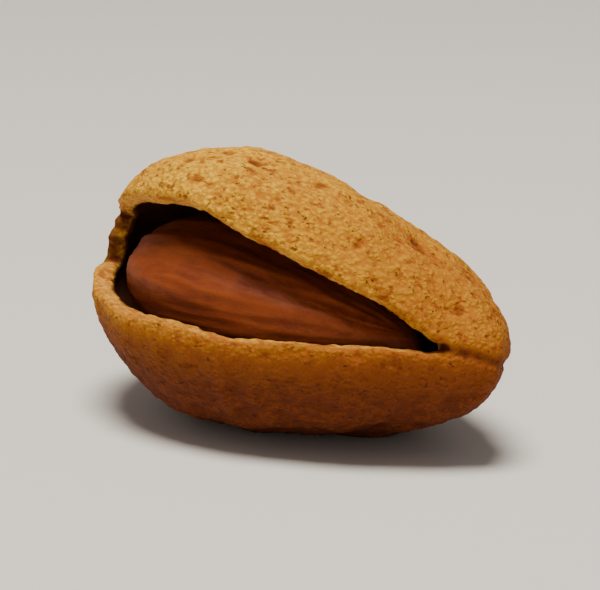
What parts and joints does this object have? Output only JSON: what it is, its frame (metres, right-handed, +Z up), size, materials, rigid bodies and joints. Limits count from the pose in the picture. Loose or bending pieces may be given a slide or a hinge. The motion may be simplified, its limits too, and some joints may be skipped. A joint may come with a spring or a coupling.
{
  "type": "almond in its shell",
  "caption": "Pitted, pointed almond shell split open along its bellied seam, with the wrinkled brown kernel lying loose inside.",
  "frame": {"origin": "on the surface that the nut lies on, under the middle of its bounding box", "axes": "+X along the nut towards its pointed tip, -Y towards the open mouth, +Z up"},
  "size_m": [0.033, 0.0212, 0.0182],
  "materials": {
    "shell": "dry, matt and corky, sandy gold with redder patches and dark pits",
    "kernel": "thin papery skin, reddish brown, satin, wrinkled lengthwise"
  },
  "bodies": {
    "root": {"shell": "shell", "kernel": "kernel"}
  },
  "joints": []
}
